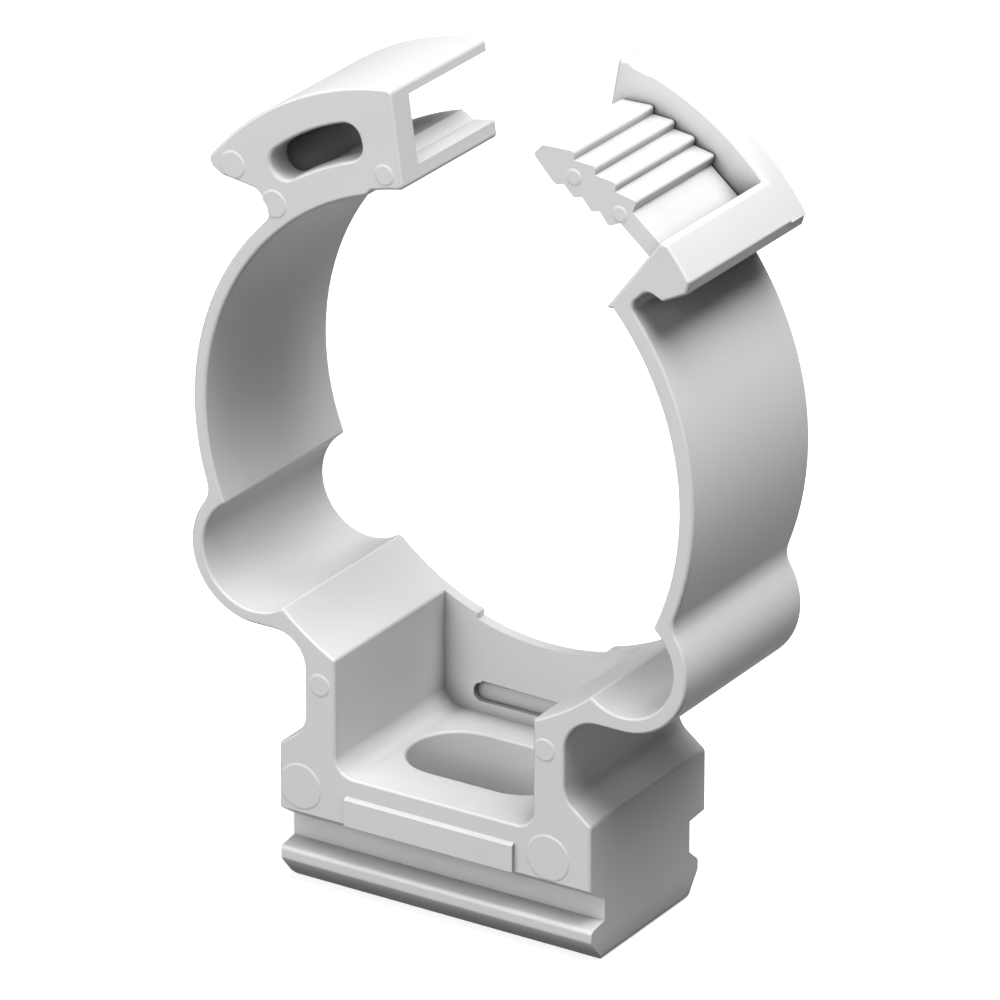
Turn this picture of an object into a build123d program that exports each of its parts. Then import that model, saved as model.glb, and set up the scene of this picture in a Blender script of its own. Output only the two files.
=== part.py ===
from build123d import *
import os
from math import atan2, cos, degrees, hypot, radians, sin, sqrt

# One-piece moulded pipe clip, shown open: a foot with rail grooves carries an open-fronted
# window, two spring loops and two ring arms that end in a socket head and a ratchet tongue.
# X runs along the foot, Y along the pipe with the front at -Y, Z is up.
# The origin is the middle of the foot's underside. Lengths are millimetres, angles degrees.
# Angles about the ring are measured from +X, anticlockwise as seen from the front.
# The open arms are sprung apart unevenly, so the ring, loops and right arm have their own offsets.

# Ring and arms
width = 18.0              # clip's width along the pipe
ring_r = 22.4             # inner radius of the open ring
ring_height = 41.4        # middle of the ring above the underside
ring_x = 0.55             # middle of the ring beside the foot's middle
band = 1.3                # thickness of the arms
right_band = 1.7          # thickness of the right arm at its head
right_lean = 2.1          # how much larger the radius of the sprung right arm is than the ring's
right_touch = -12.0       # angle where the right arm's inner face touches the ring
edge_bevel = 0.3          # bevel of the front and back edges
edge_r = 0.35             # rounding of the outline's sharp corners, more than the bevel

# Spring loops
left_loop_angle = 215.0   # angle of a loop's middle about the ring
right_loop_angle = -38.0
loop_inset = 0.35         # how far a loop's middle lies inside the ring's inner face
loop_out_r = 6.05         # outer radius of a loop
left_loop_wall = 1.25
right_loop_wall = 1.45
loop_neck_r = 2.0         # fillet between an arm and its loop, outside

# Foot, pillars and window
block_half = 15.1         # half length of the foot
pillar_half = 12.55       # outer faces of the two pillars, from the middle
pillar_tall = 7.2         # from the right loop's shelf down to where the shoulder meets the pillar
shoulder_fall = 1.95      # how far the shoulder slopes down to the foot's end
shoulder_r = 2.2
foot_corner_r = 0.5
scoop_r = 3.0             # fillet under each loop, beside the pillar
window_half = 9.5
floor_drop = 1.5          # floor of the window below the foot's shoulder corner
window_corner_r = 1.6
back_wall = 1.4
back_dip = 0.5            # how much lower the middle of the back wall's edge is
back_dip_half = 6.3
pocket_half = 6.7
pocket_low = 1.0          # pocket's lower edge above the floor
pocket_tall = 1.7
pocket_deep = 0.7
pocket_r = 0.75
slot_wide = 8.6           # clears an M8 screw
slot_long = 15.1
slot_bevel = 0.35         # bevel around the slot's upper edge

# Rail groove and lip along the front of the foot, then those along its back
groove_top = 6.9          # lower edge of the block above the groove
groove_roof_drop = 1.5    # how far the roof slopes down inwards
groove_deep = 2.2
ledge_height = 3.45       # height of the ledge where it meets the groove's face
lip_top = 3.15
lip_tall = 1.05
lip_set = 0.2             # how far the lip stays behind the block's face
sole_set = 2.0            # how far the underside's edge stays behind the block's face
groove_top_back = 7.2
groove_roof_drop_back = 0.2
groove_deep_back = 2.6
ledge_height_back = 4.2
lip_top_back = 3.05
lip_tall_back = 0.9
lip_set_back = 1.25
sole_set_back = 2.9
lip_r = 0.4

# Raised parts of the front face
panel_left = 8.5          # panel's ends, from the middle
panel_right = 7.8
panel_drop = 1.4          # panel's top edge below the window's floor
panel_bevel = 0.5
panel_proud = 0.35
pad_proud = 0.2
big_pad_r = 2.1
small_pad_r = 1.05
left_big_x = -12.95       # places of the round marks, from the middle and above the underside
left_big_z = 9.2
right_big_x = 11.05
right_big_z = 8.9
left_small_x = -11.0
left_small_drop = 3.9     # small marks below the shelf of their loop
right_small_x = 10.7
right_small_drop = 3.3

# Left head: socket that takes the tongue
mouth_angle = 98.0
mouth_step_angle = 106.0  # the mouth's inner face is set back up to this angle
mouth_step = 0.35
mouth_step_run = 1.4      # degrees that the step takes
head_r = 31.2             # outer radius at the mouth
head_crown_r = 31.4       # outer radius at the crown
head_tail_r = 30.8        # outer radius near the pry hook
head_crown_angle = 113.0
head_tail_angle = 132.5
hook_tip_r = 30.7         # pry hook's corners
hook_tip_angle = 136.5
hook_under_r = 28.9
hook_under_angle = 135.7
hook_root_r = 26.3
hook_root_angle = 131.4
hook_r = 0.8
neck_r = 1.3
neck_turn = 12.0          # degrees of the arm that the head is drawn with
socket_front = 2.45       # wall in front of the socket
socket_depth = 14.1       # how far the left head reaches back from the front face
socket_floor_r = 25.1
socket_roof_r = 28.5
socket_end_angle = 127.0
entry_floor_r = 24.2      # wider entry at the mouth
entry_roof_r = 30.1
entry_floor_angle = 103.2
entry_roof_angle = 106.4
catch_angle = 105.4       # crest of the lower catch
catch_tall = 0.55         # height of the teeth under the roof
catch_teeth = 3
hole_r_in = 25.4          # oval hole in the front wall
hole_r_out = 28.45
hole_r_out_far = 27.95
hole_from = 105.7
hole_to = 125.8
hole_corner_r = 1.3
tail_pad_at = 28.9        # round marks on the head's front
tail_pad_angle = 132.3
neck_pad_at = 24.4
neck_pad_angle = 129.5
head_pad_r = 1.25
mouth_pad_at = 24.05
mouth_pad_angle = 101.9
mouth_pad_r = 0.95

# Right head: root block, ratchet tongue and cover flange under one crown
end_angle_in = 46.9       # end face at the ring and at the outside
end_angle_out = 48.8
crown_far_r = 31.1        # the crown's outer radius at its far end, middle and tip
crown_mid_r = 32.0
crown_tip_r = 32.2
crown_mid_angle = 57.0
block_far_angle = 41.3
block_bevel = 1.0         # bevel on the plate's outer corner, in and back
block_bevel_angle = 40.1
block_under_rise = 0.6    # how much higher the plate's underside is at its far edge
block_under_r = 27.1      # underside of the root block's outer plate
end_lip_r = 22.85         # inner corner of the end face
end_top_r = 0.6           # rounding of the end face's outer corner
root_wall_angle = 44.2    # far side of the wall that carries the plate
root_fillet = 0.8
tongue_front = 2.9        # tongue's front face behind the clip's front face
tongue_top_r = 29.0       # flat top of the tongue at its root
tongue_under_r = 27.4     # flat underside of the tongue at its root
tongue_root_angle = 44.3
tooth_crest_r = 30.0
tooth_tall = 0.7
tooth_first_angle = 68.6  # steep face nearest the tip
tooth_pitch = 4.13        # degrees
tooth_count = 4
tooth_fall = 0.45         # degrees that a steep face takes
low_crest_r = 26.4
low_tall = 0.5
low_first_angle = 69.6
low_pitch = 4.0
low_count = 4
low_fall = 1.3
nose_low_r = 27.9         # corners of the tongue's tip
nose_low_angle = 75.2
nose_high_r = 29.0
nose_high_angle = 74.0
tongue_pad_r = 0.75       # round marks on the tongue's front
tongue_pad_at = 28.0
near_pad_angle = 57.2
far_pad_angle = 67.0
flange_thick = 2.9
flange_gap = 0.3          # slot between the tongue and the flange
flange_in_r = 26.0
flange_tip_angle = 76.9
flange_in_angle = 76.1
flange_far_angle = 41.0
flange_root_angle = 47.3   # the flange's inner edge ends here, inside the root block
flange_foot_angle = 45.9
flange_sunk = 0.3         # how far the flange's foot is sunk into the arm
flange_corner_r = 0.8
flange_bevel = 0.45

half = width / 2
arm_r = ring_r + band
back_face = half - back_wall
over = 1.0                # how far cutting shapes reach past the clip


def at(radius, angle):
    """Point, as X and Z, at a radius and angle about the middle of the ring."""
    return (ring_x + radius * cos(radians(angle)), ring_height + radius * sin(radians(angle)))


def arc(radius, start, end):
    """Arc about the middle of the ring."""
    return ThreePointArc(at(radius, start), at(radius, (start + end) / 2), at(radius, end))


def path(*points):
    """Straight edges through points given as X and Z."""
    return Polyline(*points).edges()


def face_of(*runs):
    """Face inside a closed row of edges."""
    edges = []
    for run in runs:
        edges.extend(run.edges())
    return make_face(edges)


def ring_piece(inner, outer, start, end):
    """Piece of a flat ring between two radii and two angles."""
    return face_of(arc(inner, start, end), path(at(inner, end), at(outer, end)),
                   arc(outer, end, start), path(at(outer, start), at(inner, start)))


def soften(face, points, radius):
    """Rounds the corners of a face that lie nearest to the given points."""
    for point in points:
        corner = face.vertices().sort_by_distance(Vector(*point))[0]
        face = fillet(corner, radius)
    return face


def slab(face, y_front, y_back):
    """Solid that a face drawn in X and Z makes between two places along the pipe."""
    plane = Plane(origin=(0, y_back, 0), x_dir=(1, 0, 0), z_dir=(0, -1, 0))
    return extrude(plane * face, amount=y_back - y_front)


def bevel_front(solid, size):
    """Bevels the edges around a slab's front face."""
    return chamfer(solid.faces().sort_by(Axis.Y)[0].edges(), size)


def bevel_back(solid, size):
    """Bevels the edges around a slab's back face."""
    return chamfer(solid.faces().sort_by(Axis.Y)[-1].edges(), size)


def disc(x, z, radius):
    """Round face at a place given as X and Z."""
    return Pos(x, z) * Circle(radius)


def box_face(x_low, x_high, z_low, z_high):
    """Rectangle between two X values and two Z values."""
    return Pos((x_low + x_high) / 2, (z_low + z_high) / 2) * Rectangle(x_high - x_low, z_high - z_low)


def meeting(first, first_r, second, second_r, side):
    """Where two circles cross; side is 1 or -1 for the crossing left or right of the line."""
    dx, dz = second[0] - first[0], second[1] - first[1]
    apart = hypot(dx, dz)
    along = (apart ** 2 + first_r ** 2 - second_r ** 2) / (2 * apart)
    off = side * sqrt(first_r ** 2 - along ** 2)
    return (first[0] + (along * dx - off * dz) / apart, first[1] + (along * dz + off * dx) / apart)


def loop_angle(side):
    """Angle about the ring of the left (-1) or right (1) loop's middle."""
    return left_loop_angle if side < 0 else right_loop_angle


def loop_middle(side):
    """Middle of a loop, as X and Z."""
    return at(ring_r - loop_inset, loop_angle(side))


def loop_in_r(side):
    """Inner radius of a loop."""
    return loop_out_r - (left_loop_wall if side < 0 else right_loop_wall)


def shelf(side):
    """Height of the underside of the shelf that joins a loop to its pillar."""
    return loop_middle(side)[1] - loop_out_r


pillar_foot = shelf(1) - pillar_tall
block_top = pillar_foot - shoulder_fall
floor_height = block_top - floor_drop


def right_arm_r(angle):
    """Radius of the right arm's inner face at an angle; the arm leans away from the ring."""
    turn = radians(angle - right_touch)
    return sqrt((ring_r + right_lean) ** 2 - (right_lean * sin(turn)) ** 2) - right_lean * cos(turn)


def right_arm():
    """Flat outline of the right arm, sprung outwards and a little thicker towards its head."""
    start, end = loop_angle(1), end_angle_in
    angles = (start, (start + end) / 2, end)
    inner = [at(right_arm_r(angle), angle) for angle in angles]
    outer = [at(right_arm_r(angle) + thick, angle)
             for angle, thick in zip(angles, (band, (band + right_band) / 2, right_band))]
    return face_of(ThreePointArc(*inner), path(inner[2], outer[2]),
                   ThreePointArc(*reversed(outer)), path(outer[0], inner[0]))


def right_arm_inside():
    """Sliver between the ring and the leaning arm, above the right loop."""
    lean_middle = at(-right_lean, right_touch)
    near = ring_piece(ring_r - over, ring_r + over, loop_angle(1), right_touch)
    return disc(*lean_middle, ring_r + right_lean) & near


def arms_and_loops():
    """Flat outline of both arms and loops with the shelves that join them to the pillars."""
    left = ring_piece(ring_r, arm_r, hook_root_angle, loop_angle(-1))
    shape = left + right_arm() + root_face()
    for side in (-1, 1):
        x, z = loop_middle(side)
        shape += disc(x, z, loop_out_r)
        shelf_low, shelf_high = sorted((0, x))
        shape += box_face(shelf_low, shelf_high, z - loop_out_r, z)
    return shape


def lower_body():
    """Flat outline of the foot with its shoulders and pillars, up into the ring."""
    top = ring_height - ring_r / 2
    points = [(-block_half, 0), (-block_half, block_top), (-pillar_half, pillar_foot),
              (-pillar_half, top), (pillar_half, top), (pillar_half, pillar_foot),
              (block_half, block_top), (block_half, 0)]
    return make_face(Polyline(*points, close=True).edges())


def clip_outline():
    """Flat outline of the clip without its left head and window."""
    shape = arms_and_loops() + lower_body()
    middle = (ring_x, ring_height)
    shape -= disc(*middle, ring_r)
    shape -= right_arm_inside()
    for side in (-1, 1):
        shape -= disc(*loop_middle(side), loop_in_r(side))
    necks = [meeting(middle, arm_r, loop_middle(side), loop_out_r, side) for side in (-1, 1)]
    shape = soften(shape, necks, loop_neck_r)
    for side in (-1, 1):
        lips = [meeting(middle, ring_r, loop_middle(side), loop_in_r(side), way) for way in (-1, 1)]
        shape = soften(shape, lips, edge_r)
        shape = soften(shape, [(side * pillar_half, shelf(side))], scoop_r)
        shape = soften(shape, [(side * pillar_half, pillar_foot)], shoulder_r)
        shape = soften(shape, [(side * block_half, block_top), (side * block_half, 0)], foot_corner_r)
    arm_outside = right_arm_r(root_wall_angle) + right_band
    return soften(shape, [at(block_under_r, root_wall_angle), at(arm_outside, root_wall_angle)], root_fillet)


def window_face():
    """Flat outline of the space between the pillars, open towards the ring."""
    face = box_face(-window_half, window_half, floor_height, ring_height)
    return soften(face, [(-window_half, floor_height), (window_half, floor_height)], window_corner_r)


def open_outline():
    """Outline of the clip in front of the back wall, with the window cut out."""
    shape = clip_outline() - window_face()
    rise = sqrt(ring_r ** 2 - (window_half + abs(ring_x)) ** 2)
    return soften(shape, [(-window_half, ring_height - rise), (window_half, ring_height - rise)], edge_r)


def back_outline():
    """Outline of the clip at the back wall, whose edge is a little lower in the middle."""
    low_edge = disc(ring_x, ring_height, ring_r + back_dip)
    return clip_outline() - (low_edge & box_face(-back_dip_half, back_dip_half, 0, ring_height))


def back_pocket():
    """Shallow pocket in the inner side of the back wall."""
    low = floor_height + pocket_low
    face = box_face(-pocket_half, pocket_half, low, low + pocket_tall)
    face = fillet(face.vertices(), pocket_r)
    return slab(face, back_face - over, back_face + pocket_deep)


def rail_groove(side, top, roof_drop, deep, ledge, tip_top, tip_tall, tip_set, sole):
    """Cut below the block on the front (-1) or back (1): groove, lip and bevelled sole."""
    steps = [(-over, top), (0, top), (deep, top - roof_drop), (deep, ledge), (tip_set, tip_top),
             (tip_set, tip_top - tip_tall), (sole, 0), (sole, -over), (-over, -over)]
    face = make_face(Polyline(*[(side * (half - inwards), z) for inwards, z in steps], close=True).edges())
    tip = [(side * (half - tip_set), tip_top), (side * (half - tip_set), tip_top - tip_tall)]
    face = soften(face, tip, lip_r)
    return extrude(Plane.YZ * face, amount=block_half + over, both=True)


def rail_grooves():
    """Grooves and lips on both sides of the foot."""
    front = rail_groove(-1, groove_top, groove_roof_drop, groove_deep, ledge_height,
                        lip_top, lip_tall, lip_set, sole_set)
    back = rail_groove(1, groove_top_back, groove_roof_drop_back, groove_deep_back, ledge_height_back,
                       lip_top_back, lip_tall_back, lip_set_back, sole_set_back)
    return front + back


def screw_slot():
    """Long rounded hole down through the foot, with a bevelled upper edge."""
    face = SlotOverall(slot_long, slot_wide)
    hole = Pos(0, 0, -over) * extrude(face, amount=floor_height + over)
    return hole + Pos(0, 0, floor_height - slot_bevel) * extrude(face, amount=2 * slot_bevel, taper=-45)


def pad(x, z, radius, face_y=-half):
    """Round ejector mark, slightly proud of a front face."""
    return slab(disc(x, z, radius), face_y - pad_proud, face_y + over)


def front_marks():
    """Raised panel and round marks on the front of the foot and pillars."""
    top = floor_height - panel_drop
    section = [(-half - panel_proud, groove_top), (-half - panel_proud, top - panel_bevel), (-half, top),
               (-half + over, top), (-half + over, groove_top)]
    section = Plane.YZ * make_face(Polyline(*section, close=True).edges())
    marks = Pos(-panel_left, 0, 0) * extrude(section, amount=panel_left + panel_right)
    marks += pad(left_big_x, left_big_z, big_pad_r)
    marks += pad(right_big_x, right_big_z, big_pad_r)
    marks += pad(left_small_x, shelf(-1) - left_small_drop, small_pad_r)
    marks += pad(right_small_x, shelf(1) - right_small_drop, small_pad_r)
    return marks


def left_head_face():
    """Flat outline of the socket head with its pry hook."""
    inner = ring_r + mouth_step
    step_end = mouth_step_angle + mouth_step_run
    crown = ThreePointArc(at(head_r, mouth_angle), at(head_crown_r, head_crown_angle),
                          at(head_tail_r, head_tail_angle))
    hook = path(at(ring_r, hook_root_angle), at(hook_root_r, hook_root_angle),
                at(hook_under_r, hook_under_angle), at(hook_tip_r, hook_tip_angle),
                at(head_tail_r, head_tail_angle))
    step = path(at(inner, mouth_step_angle), at(ring_r, step_end))
    face = face_of(arc(inner, mouth_angle, mouth_step_angle), step, arc(ring_r, step_end, hook_root_angle),
                   hook, crown, path(at(head_r, mouth_angle), at(inner, mouth_angle)))
    face = soften(face, [at(hook_tip_r, hook_tip_angle)], hook_r)
    face = soften(face, [at(hook_root_r, hook_root_angle), at(hook_under_r, hook_under_angle)], neck_r)
    face = soften(face, [at(head_r, mouth_angle), at(inner, mouth_angle)], foot_corner_r)
    face = soften(face, [at(inner, mouth_step_angle), at(ring_r, step_end)], foot_corner_r)
    face = face + ring_piece(ring_r, arm_r, hook_root_angle - 1, hook_root_angle + neck_turn)
    return soften(face, [at(arm_r, hook_root_angle)], neck_r)


def socket_face():
    """Flat outline of the socket: a funnel at the mouth and teeth along the roof."""
    points = [at(entry_roof_r, mouth_angle - 3), at(entry_roof_r, mouth_angle)]
    points.append(at(socket_roof_r, entry_roof_angle))
    for tooth in range(catch_teeth):
        angle = entry_roof_angle + tooth * tooth_pitch
        points.append(at(socket_roof_r + catch_tall, angle + tooth_fall))
        points.append(at(socket_roof_r, angle + tooth_pitch))
    points.append(at(socket_roof_r, socket_end_angle))
    points.append(at(socket_floor_r, socket_end_angle))
    catch = path(at(socket_floor_r, catch_angle), at(entry_floor_r, entry_floor_angle))
    return face_of(path(*points), arc(socket_floor_r, socket_end_angle, catch_angle), catch,
                   arc(entry_floor_r, entry_floor_angle, mouth_angle - 3),
                   path(at(entry_floor_r, mouth_angle - 3), at(entry_roof_r, mouth_angle - 3)))


def hole_face():
    """Flat outline of the oval hole in the socket's front wall."""
    outer = ThreePointArc(at(hole_r_out_far, hole_to), at(hole_r_out, (hole_from + hole_to) / 2),
                          at(hole_r_out, hole_from))
    face = face_of(arc(hole_r_in, hole_from, hole_to), path(at(hole_r_in, hole_to), at(hole_r_out_far, hole_to)),
                   outer, path(at(hole_r_out, hole_from), at(hole_r_in, hole_from)))
    return fillet(face.vertices(), hole_corner_r)


def head_marks():
    """Round marks on the front of the socket head."""
    places = ((tail_pad_at, tail_pad_angle, head_pad_r), (neck_pad_at, neck_pad_angle, head_pad_r),
              (mouth_pad_at, mouth_pad_angle, mouth_pad_r))
    marks = [slab(disc(*at(radius, angle), size) & left_head_face(), -half - pad_proud, -half + over)
             for radius, angle, size in places]
    return marks[0] + marks[1] + marks[2]


def under_crown(face):
    """The part of a face that lies inside the circle of the right head's outer face."""
    crown = ThreePointArc(at(crown_far_r, block_far_angle), at(crown_mid_r, crown_mid_angle),
                          at(crown_tip_r, flange_tip_angle))
    return face & disc(crown.arc_center.X, crown.arc_center.Y, crown.radius)


def root_face():
    """Flat outline of the right head's root wall and outer plate, on the end of the arm."""
    arm = right_arm_r(root_wall_angle) + right_band / 2
    past = crown_tip_r + over
    points = [at(end_lip_r, end_angle_in), at(past, end_angle_out), at(past, block_far_angle),
              at(crown_far_r, block_far_angle), at(crown_far_r - block_bevel, block_bevel_angle),
              at(block_under_r + block_under_rise, block_far_angle), at(block_under_r, root_wall_angle),
              at(arm, root_wall_angle)]
    face = under_crown(make_face(Polyline(*points, close=True).edges()))
    far = [at(crown_far_r, block_far_angle), at(crown_far_r - block_bevel, block_bevel_angle),
           at(block_under_r + block_under_rise, block_far_angle)]
    face = soften(face, far, edge_r)
    return soften(face, [at(crown_mid_r, end_angle_out)], end_top_r)


def tongue_face():
    """Flat outline of the tongue with ratchet teeth on both sides."""
    top = [at(tongue_top_r, tongue_root_angle)]
    for tooth in reversed(range(tooth_count)):
        angle = tooth_first_angle - tooth * tooth_pitch
        valley = tongue_top_r if tooth == tooth_count - 1 else tooth_crest_r - tooth_tall
        top.append(at(valley, angle - tooth_fall))
        top.append(at(tooth_crest_r, angle))
    low = []
    for tooth in range(low_count):
        angle = low_first_angle - tooth * low_pitch
        notch = tongue_under_r if tooth == low_count - 1 else low_crest_r + low_tall
        low.append(at(low_crest_r, angle))
        low.append(at(notch, angle - low_fall))
    nose = [at(nose_high_r, nose_high_angle), at(nose_low_r, nose_low_angle)]
    return make_face(Polyline(*top, *nose, *low, at(tongue_under_r, tongue_root_angle), close=True).edges())


def flange_face():
    """Flat outline of the cover plate behind the tongue."""
    past = crown_tip_r + over
    foot_r = right_arm_r(flange_far_angle) + flange_sunk
    face = face_of(arc(past, flange_far_angle, flange_tip_angle),
                   path(at(past, flange_tip_angle), at(flange_in_r, flange_in_angle)),
                   arc(flange_in_r, flange_in_angle, flange_root_angle),
                   path(at(flange_in_r, flange_root_angle), at(arm_r, flange_foot_angle),
                        at(foot_r, flange_far_angle), at(past, flange_far_angle)))
    return soften(under_crown(face), [at(crown_tip_r, flange_tip_angle)], flange_corner_r)


def body():
    """Arms, loops and foot in layers from front to back, with the left head's solid form."""
    front = slab(open_outline() + left_head_face(), -half, 0)
    front -= slab(hole_face(), -half - over, -half + socket_front + over)
    front = bevel_front(front, edge_bevel)
    head_back = bevel_back(slab(left_head_face(), 0, -half + socket_depth), edge_bevel)
    middle = slab(open_outline(), 0, back_face) + head_back
    rear = bevel_back(slab(back_outline() + flange_face(), back_face, half), edge_bevel)
    return middle + rear + front


def tongue_and_flange():
    """Tongue and the front part of the flange behind it."""
    flange_front = half - flange_thick
    tongue = slab(tongue_face(), -half + tongue_front, flange_front - flange_gap)
    for angle in (near_pad_angle, far_pad_angle):
        tongue += pad(*at(tongue_pad_at, angle), tongue_pad_r, -half + tongue_front)
    return tongue + bevel_front(slab(flange_face(), flange_front, back_face), flange_bevel)


clip = body()
clip -= slab(socket_face(), -half + socket_front, half)
clip -= back_pocket()
clip += tongue_and_flange()
clip += front_marks() + head_marks()
clip -= rail_grooves()
clip -= screw_slot()

os.makedirs("parts", exist_ok=True)
export_step(clip, "parts/pipe_clip.step")
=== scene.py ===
import math

import bmesh
import bpy
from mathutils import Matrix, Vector


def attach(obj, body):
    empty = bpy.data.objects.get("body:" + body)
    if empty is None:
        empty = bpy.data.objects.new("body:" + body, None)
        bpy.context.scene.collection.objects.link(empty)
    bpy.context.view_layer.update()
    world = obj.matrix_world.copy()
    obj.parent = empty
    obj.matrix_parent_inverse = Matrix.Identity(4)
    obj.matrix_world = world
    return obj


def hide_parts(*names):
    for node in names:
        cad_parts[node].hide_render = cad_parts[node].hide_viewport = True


# A one-piece moulded pipe clip in pale grey plastic, seen from above its open window.
# The clip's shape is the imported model's. This script softens its fine edges and gives it its
# plastic, light and view.

MM = 0.001

# View, read from the photograph: turn about the clip and height above it in degrees, and lens
VIEW_TURN = 32.445
VIEW_RISE = 23.63
VIEW_AIM = (0.73 * MM, 0.0, 34.76 * MM)
VIEW_AWAY = 729.0 * MM
VIEW_END = 10.0
SENSOR = 36.0
LENS = 9.0 * SENSOR

# Plastic: its colour, and the painted shade darkening its colour in corners, in hollows and near the floor:
# how far it reaches, and by how much
PLASTIC_GREY = (0.58, 0.58, 0.58, 1.0)
BLACK = (0.0, 0.0, 0.0, 1.0)
CORNER_REACH = 2.6 * MM
CORNER_PAINTED_SHADE = 0.65
HOLLOW_REACH = 6.0 * MM
HOLLOW_PAINTED_SHADE = 0.6
PAINTED_SHADE_MOST = 0.9
CORNER_SAMPLES = 4
ROUGHNESS = 0.42
REFRACTION = 1.49
GRAIN_STRENGTH = 0.12
GRAIN_DEPTH = 0.05 * MM

# Noise scales, in patches per metre
CLOUD = 180.0
SPECK = 1500.0
GRAIN = 5200.0

# Floor: its white to the camera, and the little that it throws back onto the clip
FLOOR_WIDE = 6.0
FLOOR_PALE = (0.80, 0.80, 0.80, 1.0)
FLOOR_BOUNCE = (0.10, 0.10, 0.10, 1.0)
FLOOR_GLOW = 0.55
FLOOR_ROUGHNESS = 0.9

# Soft boxes: turn from the front and height in degrees, width in metres, watts
LAMP_AIM = (0, 0, 36 * MM)
LAMP_AWAY = 620.0 * MM
LAMPS = (
    ("high_right", 70, 70, 0.35, 4.1),
    ("high_back_right", 110, 70, 0.35, 2.3),
    ("front_left", -45, 30, 0.35, 1.6),
    ("front", 0, 25, 0.30, 1.85),
    ("low_front", 0, 8, 0.30, 0.55),
    ("behind", 190, 15, 0.40, 1.0),
)
WORLD_STRENGTH = 0.02

# Soft edges
WELD = 0.002 * MM
FLAT = math.radians(0.4)       # faces nearer than this to one plane are joined
CREASE = math.radians(25)      # edges between broad faces stay sharp above this
ROUNDED = math.radians(52)     # edges of a narrow bevel look rounded up to this
NARROW = 0.5 * MM              # widest bevel that is shaded as a rounding

# Crests of the tongue's teeth: convex edges right across the tongue, and their radius
SHARP = math.radians(60)
TONGUE_WIDE = 11.9 * MM
CREST_R = 0.3 * MM

# Ejector marks: where their faces lie, how far they stand out, and how they are flattened
MARK_PLANES = (-9.2 * MM, -6.3 * MM)
MARK_PROUD = 0.2 * MM
MARK_SUNK = 0.13 * MM
MARK_SLOPE = 0.2 * MM

# Raised panel on the foot: its upper edge, and how much narrower the slope there is made
FRONT = -9.0 * MM
PANEL_FACE = -9.35 * MM
PANEL_TOP = 9.71 * MM
PANEL_NEAR = 0.03 * MM
PANEL_REACH = 9 * MM
PANEL_LOWERED = 0.26 * MM


class Value:
    """A shader socket that sums, products and the like can be written with."""

    tree = None

    def __init__(self, socket):
        self.socket = socket

    @classmethod
    def node(cls, kind, settings=None, **inputs):
        """Adds a node, sets its settings first, then its sockets from values or other sockets."""
        made = cls.tree.nodes.new(kind)
        for name, setting in (settings or {}).items():
            setattr(made, name, setting)
        for name, given in inputs.items():
            numbered = name[0] == "i" and name[1:].isdigit()
            socket = made.inputs[int(name[1:]) if numbered else name.replace("_", " ")]
            if isinstance(given, Value):
                cls.tree.links.new(given.socket, socket)
            else:
                socket.default_value = given
        return made

    @classmethod
    def maths(cls, operation, *terms):
        """One Math node on up to three values."""
        inputs = {"i%d" % n: term for n, term in enumerate(terms)}
        made = cls.node("ShaderNodeMath", {"operation": operation}, **inputs)
        return cls(made.outputs[0])

    def __add__(self, other):
        return Value.maths("ADD", self, other)

    __radd__ = __add__

    def __sub__(self, other):
        return Value.maths("SUBTRACT", self, other)

    def __rsub__(self, other):
        return Value.maths("SUBTRACT", other, self)

    def __mul__(self, other):
        return Value.maths("MULTIPLY", self, other)

    __rmul__ = __mul__

    def at_most(self, other):
        """The smaller of the two."""
        return Value.maths("MINIMUM", self, other)

    def eased(self, low, high):
        """0 below low, 1 above high, smooth between."""
        settings = {"interpolation_type": "SMOOTHSTEP"}
        made = Value.node("ShaderNodeMapRange", settings, Value=self, From_Min=low, From_Max=high)
        return Value(made.outputs["Result"])

    def into(self, socket):
        """Links this value to a shader's socket."""
        Value.tree.links.new(self.socket, socket)


def new_material(name):
    """A node material and its Principled shader."""
    material = bpy.data.materials.new(name)
    material.use_nodes = True
    Value.tree = material.node_tree
    return material, material.node_tree.nodes["Principled BSDF"]


def noise(place, scale, detail=2.0, roughness=0.5):
    """Even 3-D noise around 0.5."""
    made = Value.node("ShaderNodeTexNoise", {}, Vector=place, Scale=scale, Detail=detail, Roughness=roughness)
    return Value(made.outputs["Fac"])


def openness(reach):
    """1 on open surfaces, less in corners and hollows within a reach, and close to the floor."""
    made = Value.node("ShaderNodeAmbientOcclusion", {"samples": CORNER_SAMPLES}, Distance=reach)
    return Value(made.outputs["AO"])


def mixed(share, first, second):
    """Colour between two colours. Sockets 6 and 7 and output 2 are the Mix node's colours."""
    made = Value.node("ShaderNodeMix", {"data_type": "RGBA"}, Factor=share, i6=first, i7=second)
    return Value(made.outputs[2])


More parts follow.
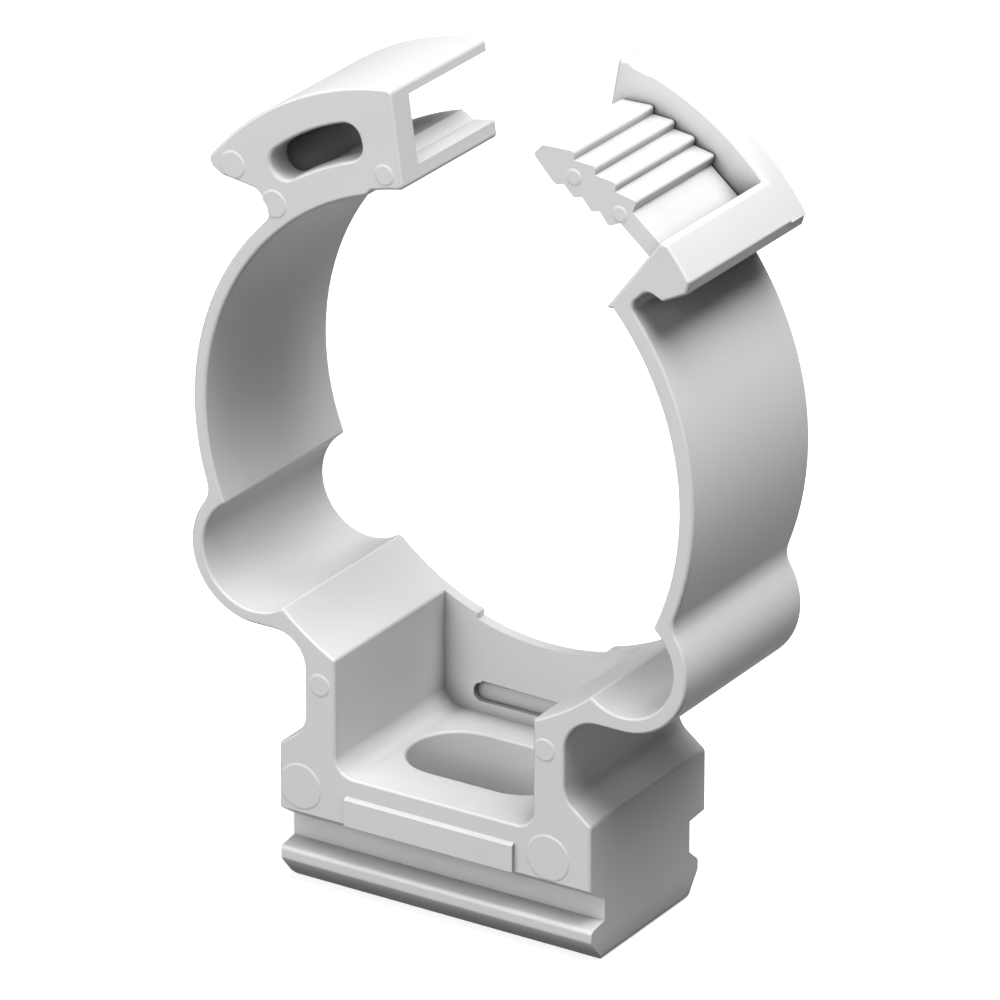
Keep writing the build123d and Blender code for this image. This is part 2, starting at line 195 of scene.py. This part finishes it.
def moulded_plastic():
    """Satin pale grey plastic: faintly cloudy grey, painted shade in its colour in corners, hollows and near
    the floor, fine mould grain.
    """
    material, shader = new_material("moulded_plastic")
    place = Value(Value.node("ShaderNodeTexCoord").outputs["Object"])
    cloud = noise(place, CLOUD, 3.0)
    grain = noise(place, GRAIN, 2.0, 0.6)
    speck = noise(place, SPECK, 1.0)
    # Painted shade: the grey is darkened in corners, in hollows and close to the floor, where shade falls
    shade = (1.0 - openness(CORNER_REACH).eased(0.1, 0.95)) * CORNER_PAINTED_SHADE
    shade = shade + (1.0 - openness(HOLLOW_REACH).eased(0.0, 0.6)) * HOLLOW_PAINTED_SHADE
    painted_shade_and_cloud = (1.0 - shade.at_most(PAINTED_SHADE_MOST)) * (0.97 + cloud * 0.06)
    mixed(painted_shade_and_cloud, BLACK, PLASTIC_GREY).into(shader.inputs["Base Color"])
    rough = ROUGHNESS + (cloud - 0.5) * 0.12 + (speck - 0.5) * 0.06
    rough.into(shader.inputs["Roughness"])
    relief = grain * 0.6 + speck * 0.4
    bump = Value.node("ShaderNodeBump", {}, Strength=GRAIN_STRENGTH, Distance=GRAIN_DEPTH, Height=relief)
    Value(bump.outputs["Normal"]).into(shader.inputs["Normal"])
    shader.inputs["IOR"].default_value = REFRACTION
    return material


def face_width(face):
    """Area of a face over its longest edge."""
    return face.calc_area() / max(edge.calc_length() for edge in face.edges)


def flatten_marks(build):
    """Makes the ejector marks faint: lower, with a sloped rim."""
    for face in build.faces:
        middle = face.calc_center_median()
        if any(abs(middle.y - level) < WELD for level in MARK_PLANES):
            reach = max((vert.co - middle).length for vert in face.verts)
            for vert in face.verts:
                vert.co = middle + (vert.co - middle) * (1 - MARK_SLOPE / reach)
                vert.co.y += MARK_SUNK


def narrow_panel_slope(build):
    """Lowers the upper edge of the foot's raised panel, so that its slope is a thin line."""
    for vert in build.verts:
        at_top = abs(vert.co.y - FRONT) < WELD and abs(vert.co.z - PANEL_TOP) < PANEL_NEAR
        if at_top and abs(vert.co.x) < PANEL_REACH:
            vert.co.z -= PANEL_LOWERED


def is_rim(face):
    """Whether a face is the slope round a mark or along the panel's upper edge."""
    near = min(vert.co.y for vert in face.verts)
    far = max(vert.co.y for vert in face.verts)
    slopes = [(level + MARK_SUNK, level + MARK_PROUD) for level in MARK_PLANES] + [(PANEL_FACE, FRONT)]
    return any(abs(near - low) < WELD and abs(far - high) < WELD for low, high in slopes)


def round_crests(build):
    """Rounds the crests of the teeth, on both sides of the tongue."""
    crests = [edge for edge in build.edges if edge.is_convex and edge.calc_face_angle(0.0) > SHARP
              and abs(edge.calc_length() - TONGUE_WIDE) < 10 * WELD]
    bmesh.ops.bevel(build, geom=crests, offset=CREST_R, offset_type="OFFSET", segments=3, profile=0.5,
                    affect="EDGES", clamp_overlap=False, material=-1)


def looks_smooth(edge):
    """Whether an edge is shaded as a rounding: shallow, or beside a narrow bevel, and no outline."""
    outline = sum(is_rim(face) for face in edge.link_faces) == 1
    beside_bevel = min(face_width(face) for face in edge.link_faces) < NARROW
    return not outline and edge.calc_face_angle(0.0) < (ROUNDED if beside_bevel else CREASE)


def softened_clip(node):
    """Welded copy of the clip, with faint marks and with its narrow bevels shaded as roundings."""
    build = bmesh.new()
    build.from_mesh(node.data)
    bmesh.ops.remove_doubles(build, verts=build.verts, dist=WELD)
    bmesh.ops.dissolve_limit(build, angle_limit=FLAT, verts=build.verts, edges=build.edges)
    flatten_marks(build)
    narrow_panel_slope(build)
    round_crests(build)
    for edge in build.edges:
        edge.smooth = looks_smooth(edge)
    for face in build.faces:
        face.smooth = True
    mesh = bpy.data.meshes.new("soft_clip")
    build.to_mesh(mesh)
    build.free()
    clip = bpy.data.objects.new("soft_clip", mesh)
    bpy.context.collection.objects.link(clip)
    shading = clip.modifiers.new("edge_shading", "WEIGHTED_NORMAL")
    shading.mode = "FACE_AREA"
    shading.weight = 100
    shading.keep_sharp = True
    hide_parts("pipe_clip")
    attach(clip, "root")
    return clip


def pale_floor():
    """Large plain floor that stays white to the camera and keeps a faint shadow."""
    bpy.ops.mesh.primitive_plane_add(size=FLOOR_WIDE, location=(0, 0, 0))
    floor = bpy.context.object
    floor.name = "floor"
    material, shader = new_material("floor_white")
    shader.inputs["Roughness"].default_value = FLOOR_ROUGHNESS
    shader.inputs["Specular IOR Level"].default_value = 0.0
    path = Value.node("ShaderNodeLightPath")
    direct = Value(path.outputs["Is Camera Ray"])
    mixed(direct, FLOOR_BOUNCE, FLOOR_PALE).into(shader.inputs["Base Color"])
    seen = direct + Value(path.outputs["Is Glossy Ray"])
    shader.inputs["Emission Color"].default_value = (1, 1, 1, 1)
    glow = seen.at_most(1.0) * FLOOR_GLOW
    glow.into(shader.inputs["Emission Strength"])
    floor.data.materials.append(material)


def direction(turn, rise):
    """Unit vector from the clip, by degrees round from its front and up."""
    turn, rise = math.radians(turn), math.radians(rise)
    return Vector((math.sin(turn) * math.cos(rise), -math.cos(turn) * math.cos(rise), math.sin(rise)))


def studio():
    """Two soft boxes high on the right, weaker ones in front, at the left and behind."""
    for name, turn, rise, size, watts in LAMPS:
        away = direction(turn, rise)
        data = bpy.data.lights.new(name, "AREA")
        data.shape = "RECTANGLE"
        data.size = size
        data.size_y = size
        data.energy = watts
        lamp = bpy.data.objects.new(name, data)
        bpy.context.collection.objects.link(lamp)
        lamp.location = Vector(LAMP_AIM) + away * LAMP_AWAY
        lamp.rotation_euler = (-away).to_track_quat("-Z", "Y").to_euler()
    world = bpy.context.scene.world or bpy.data.worlds.new("studio")
    bpy.context.scene.world = world
    world.use_nodes = True
    background = world.node_tree.nodes["Background"]
    background.inputs["Color"].default_value = (1, 1, 1, 1)
    background.inputs["Strength"].default_value = WORLD_STRENGTH


def camera():
    """Camera at the photograph's viewing angle, far off with a long lens."""
    back = direction(VIEW_TURN, VIEW_RISE)
    data = bpy.data.cameras.new("camera")
    data.sensor_width = SENSOR
    data.sensor_fit = "HORIZONTAL"
    data.lens = LENS
    data.clip_end = VIEW_END
    viewer = bpy.data.objects.new("camera", data)
    bpy.context.collection.objects.link(viewer)
    viewer.location = Vector(VIEW_AIM) + back * VIEW_AWAY
    viewer.rotation_euler = back.to_track_quat("Z", "Y").to_euler()
    bpy.context.scene.camera = viewer


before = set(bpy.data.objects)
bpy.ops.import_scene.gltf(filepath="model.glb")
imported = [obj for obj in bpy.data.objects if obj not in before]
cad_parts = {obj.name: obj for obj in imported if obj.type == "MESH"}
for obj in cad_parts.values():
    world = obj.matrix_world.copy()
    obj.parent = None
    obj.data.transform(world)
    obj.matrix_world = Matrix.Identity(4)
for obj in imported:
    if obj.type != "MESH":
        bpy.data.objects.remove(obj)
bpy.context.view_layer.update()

plastic = moulded_plastic()
cad_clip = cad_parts["pipe_clip"]
cad_clip.data.materials.clear()
cad_clip.data.materials.append(plastic)
softened_clip(cad_clip).data.materials.append(plastic)

pale_floor()
studio()
camera()
bpy.context.scene.view_settings.view_transform = "Standard"
